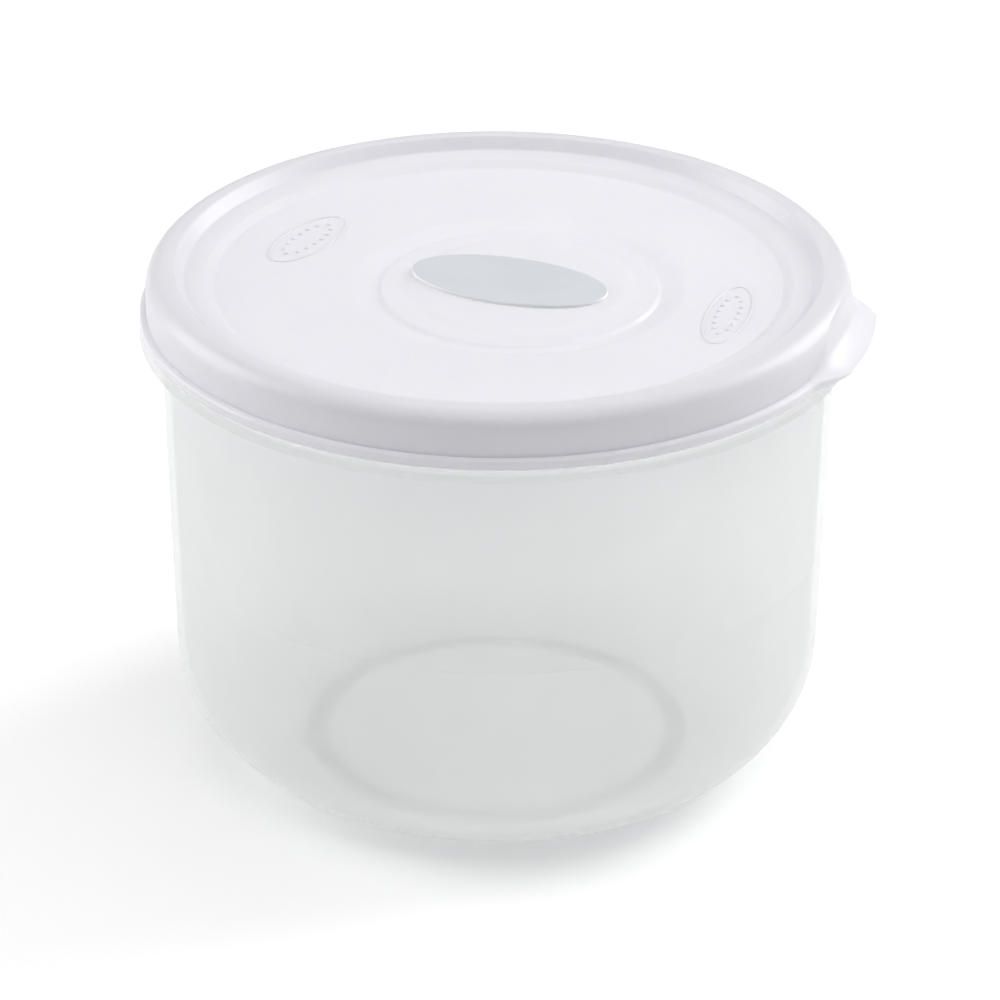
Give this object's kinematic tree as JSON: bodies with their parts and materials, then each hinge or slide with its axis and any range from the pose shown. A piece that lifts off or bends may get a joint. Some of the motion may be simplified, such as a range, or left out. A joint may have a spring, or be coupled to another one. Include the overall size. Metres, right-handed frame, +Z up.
{
  "type": "yogurt tub",
  "caption": "Round translucent food tub for setting yogurt, with a white snap lid, a pull tab and an oval badge.",
  "frame": {"origin": "centre of the tub's flat base, on the tub's axis", "axes": "+Z up along the tub's axis, +X through the lid's pull tab"},
  "size_m": [0.158, 0.154, 0.1139],
  "materials": {
    "tub": "natural translucent polypropylene, satin",
    "lid": "white soft polyethylene, semi-gloss",
    "badge": "pale grey-blue moulded plastic, satin"
  },
  "bodies": {
    "tub": {"tub": "tub"},
    "lid": {"lid": "lid", "badge": "badge"}
  },
  "joints": [
    {"name": "lid_lift", "type": "slide", "parent": "tub", "child": "lid", "axis": [0, 0, 1], "range_m": [0, 0.08]}
  ]
}
